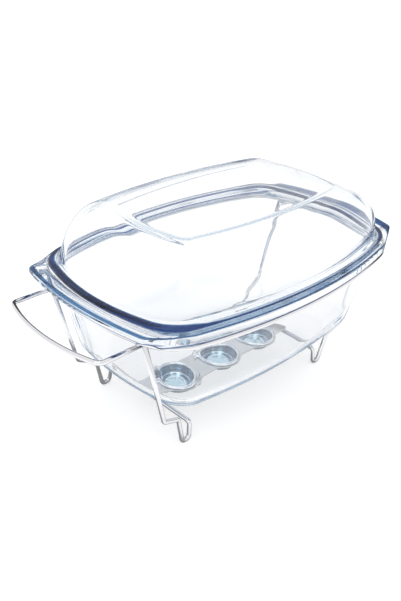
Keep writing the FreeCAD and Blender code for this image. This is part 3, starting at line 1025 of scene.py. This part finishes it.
def cup_painted_light(finish, place, tone):
    """Colour of a spun cup: painted reflections on wall and floor, painted highlights and a bare
    lip.
    """
    height = finish.axis(place, "Z")
    beside = finish.maths("WRAP", finish.axis(place, "X"), CUP_PITCH / 2, -CUP_PITCH / 2)
    from_middle = finish.node("ShaderNodeCombineXYZ", {}, beside, finish.axis(place, "Y"))
    spoke = finish.vector("NORMALIZE", from_middle)
    radius = finish.vector("LENGTH", from_middle, out="Value")
    highlight_noise = finish.noise(spoke, HIGHLIGHT_SCALE, 2.0)
    bright = finish.between(highlight_noise, HIGHLIGHT_FROM, HIGHLIGHT_TO)
    bright = bright * finish.between(radius, 0.1 * CUP_FLOOR_R, 0.9 * CUP_FLOOR_R)
    on_wall = finish.between(height, CUP_FLOOR_FROM_Z, CUP_FLOOR_TO_Z)
    # Painted reflection: the floor is paler than the wall, as the bright glass above would show in
    # it.
    reflected_tone = finish.mixed(on_wall, CUP_FLOOR_REFLECTION, tone)
    # Painted highlights: pale streaks in place of reflected light.
    highlighted = finish.mixed(bright, reflected_tone, PAINTED_HIGHLIGHT_TONE)
    return finish.mixed(finish.between(height, LIP_FROM_Z, LIP_TO_Z), highlighted, LIP_TONE)


def steel(name, colour, smoothest, roughest, metal=1.0, cup=False):
    """Bright metal with patches of haze and a fine grain, and on a cup painted reflections and
    highlights.
    """
    made, finish = material(name, colour)
    place = finish.place()
    haze = finish.noise(place, HAZE_SCALE, 3.0)
    rough = finish.between(haze, HAZE_FROM, HAZE_TO, smoothest, roughest)
    dull = tuple(HAZE_DULLS * part for part in colour[:3]) + (1.0,)
    tone = finish.mixed(haze, colour, dull)
    if cup:
        tone = cup_painted_light(finish, place, tone)
    grain = finish.noise(place, GRAIN_SCALE, 2.0)
    bump = finish.node("ShaderNodeBump", {}, Strength=0.04, Distance=0.0002, Height=grain)
    shader = finish.node("ShaderNodeBsdfPrincipled", {}, Base_Color=tone, Metallic=metal,
                         Roughness=rough, Normal=bump)
    finish.surface(shader)
    return made


wire_finish = steel("frame_wire", (0.80, 0.80, 0.82, 1.0), 0.04, 0.10)
strip_finish = steel("strip_steel", (0.95, 0.95, 0.97, 1.0), 0.16, 0.24, metal=0.5)
# The cups' dark blue is a painted dark reflection, not the steel's own colour.
cup_finish = steel("cup_steel", (0.0, 0.13, 0.24, 1.0), 0.06, 0.12, cup=True)
print("cups stand %.1f mm apart" % (1000 * CUP_PITCH))

# %% [markdown]
# ## Dressing the object
# Each new piece rides on the body whose CAD node it stands for, and hides that
# node. A weld bead stands for no node and only rides. The strip keeps its CAD mesh,
# which has the right shape, and only takes a new finish.

# %% Ride, replace and paint
def dress(piece, finish, body, slot, *nodes):
    piece.data.materials.clear()
    piece.data.materials.append(finish)
    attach(piece, body)
    if nodes:
        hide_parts(*nodes)


dress(lid, lid_finish, "lid", "lid_glass", "glass_lid")
dress(dish, dish_finish, "dish", "dish_glass", "glass_dish")
for side, cup in cups.items():
    dress(cup, cup_finish, "cup_" + side, "cup_steel", "tealight_cup_" + side)

dress(ring, wire_finish, "stand", "frame_wire", "support_ring")
dress(handle_left, wire_finish, "stand", "frame_wire", "handle_left")
dress(handle_right, wire_finish, "stand", "frame_wire", "handle_right")
dress(legs_left, wire_finish, "stand", "frame_wire", "end_frame_left")
dress(legs_right, wire_finish, "stand", "frame_wire", "end_frame_right")
for bead in beads:
    dress(bead, wire_finish, "stand", "frame_wire")
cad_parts["tealight_strip"].material_slots[0].material = strip_finish
print("dressed", sorted(piece.name for piece in (lid, dish, ring, *cups.values())))

# %% [markdown]
# ## Floor
# The floor is a wide plane. It is painted light grey and glows a little, which
# together come out white and leave a faint shadow of the object.
#
# Metal and glass only show what is round them, so it matters what each kind of ray
# finds. Mirrored rays see the floor darker under the dish, as if less light got
# there. A perfectly sharp reflection, as glass gives, counts less as mirrored than
# the slightly hazy one of a wire.

# %% Floor
FLOOR_SIZE = 14.0
FLOOR_COLOUR = (0.66, 0.66, 0.66, 1.0)
FLOOR_LIFT = 0.55
SHARP_LOSS = 0.6
WHITE = (1.0, 1.0, 1.0, 1.0)
UNDER_TONE = (0.05, 0.05, 0.06, 1.0)
UNDER_SHARE = 0.7
UNDER_HALF_LENGTH = (0.225, 0.245)
UNDER_HALF_WIDTH = (0.062, 0.074)


def rays(finish):
    """Share of each kind of ray: from the camera, mirrored, and out of glass."""
    path = finish.tree.nodes.new("ShaderNodeLightPath")
    names = ("Is Camera Ray", "Is Glossy Ray", "Is Transmission Ray", "Is Singular Ray")
    camera_ray, glossy, through, sharp = [Signal(finish, path.outputs[name]) for name in names]
    return camera_ray, glossy * (1 - through) * (1 - sharp * SHARP_LOSS), through


bpy.ops.object.select_all(action="DESELECT")
bpy.ops.mesh.primitive_grid_add(x_subdivisions=8, y_subdivisions=8, size=FLOOR_SIZE)
floor = bpy.context.object
floor.name = "studio_floor"
floor_finish, finish = material("studio_floor", FLOOR_COLOUR)
camera_ray, mirrored, through = rays(finish)
sideways = finish.vector("ABSOLUTE", finish.place())
beyond_ends = finish.between(finish.axis(sideways, "X"), *UNDER_HALF_LENGTH)
beyond_sides = finish.between(finish.axis(sideways, "Y"), *UNDER_HALF_WIDTH)
shade = (1 - beyond_ends) * (1 - beyond_sides) * mirrored * UNDER_SHARE
lift = (camera_ray + through) * FLOOR_LIFT + mirrored * FLOOR_LIFT * (1 - shade)
paint_colour = finish.mixed(shade, FLOOR_COLOUR, UNDER_TONE)
paint = finish.node("ShaderNodeBsdfDiffuse", {}, Color=paint_colour)
glow = finish.node("ShaderNodeEmission", {}, Color=WHITE, Strength=lift)
finish.surface(finish.node("ShaderNodeAddShader", {}, paint, glow))
floor.data.materials.append(floor_finish)
print("floor %.0f m wide" % FLOOR_SIZE)

# %% [markdown]
# ## World
# The world is white and lights everything evenly. A photographer who wants dark
# lines in wires and glass edges puts dark cards round the object, out of the
# picture. Here mirrored rays see one dark part with an uneven edge, from the
# horizon up on one side. Rays that have passed through glass see blue-grey cards
# higher up, but none behind the object and none in a gap at the front.
#
# All of this stands still in the room. The camera sees white, and so does a matte
# surface in the open. Seen from another side, the same cards show in other places.

# %% World
DARK_TOWARDS = Vector((0.82, 0.57, 0.0))
DARK_EDGE = (0.76, 0.84)
DARK_TOP = (0.66, 0.76)
DARK_SHARE = 0.95
PATCH_SCALE = 2.5
PATCH_SHARE = 0.3
CARD_TONE = (0.20, 0.30, 0.46, 1.0)
CARD_BOTTOM = (0.16, 0.24)
CARD_TOP = (0.86, 0.94)
BEHIND = Vector((0.735, 0.677, 0.0))
BEHIND_EDGE = (0.86, 0.93)
FRONT_GAP = Vector((-0.214, -0.977, 0.0))
FRONT_GAP_EDGE = (0.93, 0.97)

world = bpy.data.worlds.new("studio")
bpy.context.scene.world = world
sky = Finish(world)
camera_ray, mirrored, through = rays(sky)
direction = sky.node("ShaderNodeTexCoord", {}, out="Generated")
height = sky.axis(direction, "Z")

towards_dark = sky.vector("DOT_PRODUCT", direction, DARK_TOWARDS, out="Value")
patches = sky.noise(direction, PATCH_SCALE, 1.0)
dark = sky.between(towards_dark + patches * PATCH_SHARE, *DARK_EDGE)
dark = dark * (1 - sky.between(height, *DARK_TOP))

level_way = sky.vector("NORMALIZE", sky.vector("MULTIPLY", direction, (1, 1, 0)))
behind = sky.vector("DOT_PRODUCT", level_way, BEHIND, out="Value")
in_gap = sky.vector("DOT_PRODUCT", level_way, FRONT_GAP, out="Value")
cards = (1 - sky.between(behind, *BEHIND_EDGE)) * (1 - sky.between(in_gap, *FRONT_GAP_EDGE))
cards = cards * sky.between(height, *CARD_BOTTOM) * (1 - sky.between(height, *CARD_TOP))

card_colour = sky.mixed(through * cards, WHITE, CARD_TONE)
strength = 1 - mirrored * dark * DARK_SHARE
background = sky.node("ShaderNodeBackground", {}, Color=card_colour, Strength=strength)
sky.node("ShaderNodeOutputWorld", {}, Surface=background)
print("world nodes:", len(world.node_tree.nodes))

# %% [markdown]
# ## Lamp
# One large soft lamp, high on the left, gives the shadow a side.

# %% Lamp
LAMP_PLACE = Vector((-1.2, -0.6, 1.6))
LAMP_SIZE = 1.2
LAMP_WATTS = 5.0

bpy.ops.object.light_add(type="AREA", location=LAMP_PLACE)
lamp = bpy.context.object
lamp.name = "soft_lamp"
lamp.data.size = LAMP_SIZE
lamp.data.energy = LAMP_WATTS
lamp.rotation_euler = (-LAMP_PLACE).to_track_quat("-Z", "Y").to_euler()
print("lamp %.1f m away" % LAMP_PLACE.length)

# %% [markdown]
# ## Camera
# The photograph looks down on the object by about thirty degrees, over its near
# left corner, and is turned a few degrees. The numbers were fitted to the ring, the
# rims and the feet. The picture's middle isn't quite on the lens axis, and a very
# small shift of the lens makes up for that. A ray crosses many glass faces before
# it leaves the object, so it may bounce often.

# %% Camera
PHOTO_SIZE = Vector((401, 601))
AZIMUTH = math.radians(-47.4)
ELEVATION = math.radians(29.6)
ROLL = math.radians(4.6)
DISTANCE = 0.7461
FOCAL_PX = 714.5
AXIS_PX = Vector((192.6, 299.9))
LOOK_AT = Vector((-0.0082, 0.0325, 0.0781))
SENSOR = 36.0
MOST_BOUNCES = 80
MIRROR_BOUNCES = 64
GLASS_BOUNCES = 48

back = Vector((math.sin(AZIMUTH) * math.cos(ELEVATION),
               -math.cos(AZIMUTH) * math.cos(ELEVATION), math.sin(ELEVATION)))
right = Vector((math.cos(AZIMUTH), math.sin(AZIMUTH), 0))
upright = back.cross(right)
rolled_right = right * math.cos(ROLL) + upright * math.sin(ROLL)
rolled_up = upright * math.cos(ROLL) - right * math.sin(ROLL)

bpy.ops.object.camera_add(location=LOOK_AT + back * DISTANCE)
camera = bpy.context.object
turn = camera.rotation_euler.to_matrix()
for row in range(3):
    turn[row] = (rolled_right[row], rolled_up[row], back[row])
camera.rotation_euler = turn.to_euler()
camera.data.sensor_width = SENSOR
camera.data.lens = FOCAL_PX * SENSOR / PHOTO_SIZE.y
camera.data.shift_x = (PHOTO_SIZE.x / 2 - AXIS_PX.x) / PHOTO_SIZE.y
camera.data.shift_y = (AXIS_PX.y - PHOTO_SIZE.y / 2) / PHOTO_SIZE.y
camera.data.clip_end = 100
bpy.context.scene.camera = camera
bpy.context.scene.cycles.max_bounces = MOST_BOUNCES
bpy.context.scene.cycles.glossy_bounces = MIRROR_BOUNCES
bpy.context.scene.cycles.transmission_bounces = GLASS_BOUNCES
bpy.context.scene.view_settings.view_transform = "Standard"
print("lens %.1f mm" % camera.data.lens)
